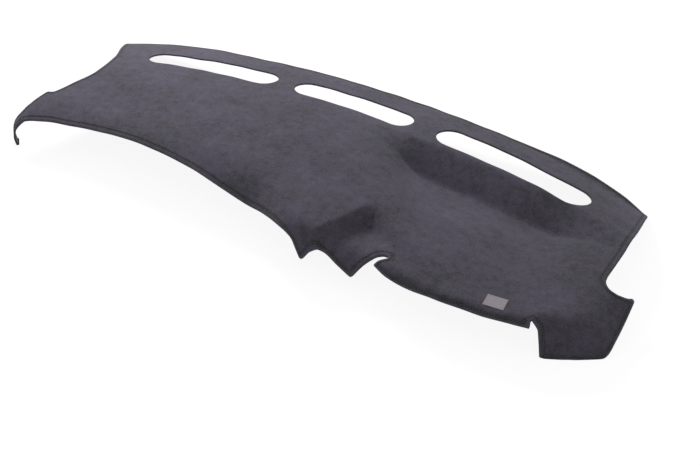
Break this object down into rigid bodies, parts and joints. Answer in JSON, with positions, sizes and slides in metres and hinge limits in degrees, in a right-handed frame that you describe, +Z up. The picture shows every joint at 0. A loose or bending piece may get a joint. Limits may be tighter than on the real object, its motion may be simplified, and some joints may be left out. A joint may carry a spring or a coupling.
{
  "type": "dashboard cover mat",
  "caption": "Fitted carpet mat moulded to lie over a car's dashboard, with a turned-under hem, long vent slots, a driver's hood, a centre tongue and a hanging side flap.",
  "frame": {"origin": "on the floor, under the middle of the mat's length and depth", "axes": "+X along the dashboard towards the driver's end, +Y towards the windscreen, +Z up"},
  "size_m": [1.4184, 0.572, 0.106],
  "materials": {
    "carpet": "needle-punched carpet, charcoal, matt",
    "label": "plain woven tape, grey"
  },
  "bodies": {
    "root": {"mat_panel": "carpet", "woven_label": "label"}
  },
  "joints": []
}
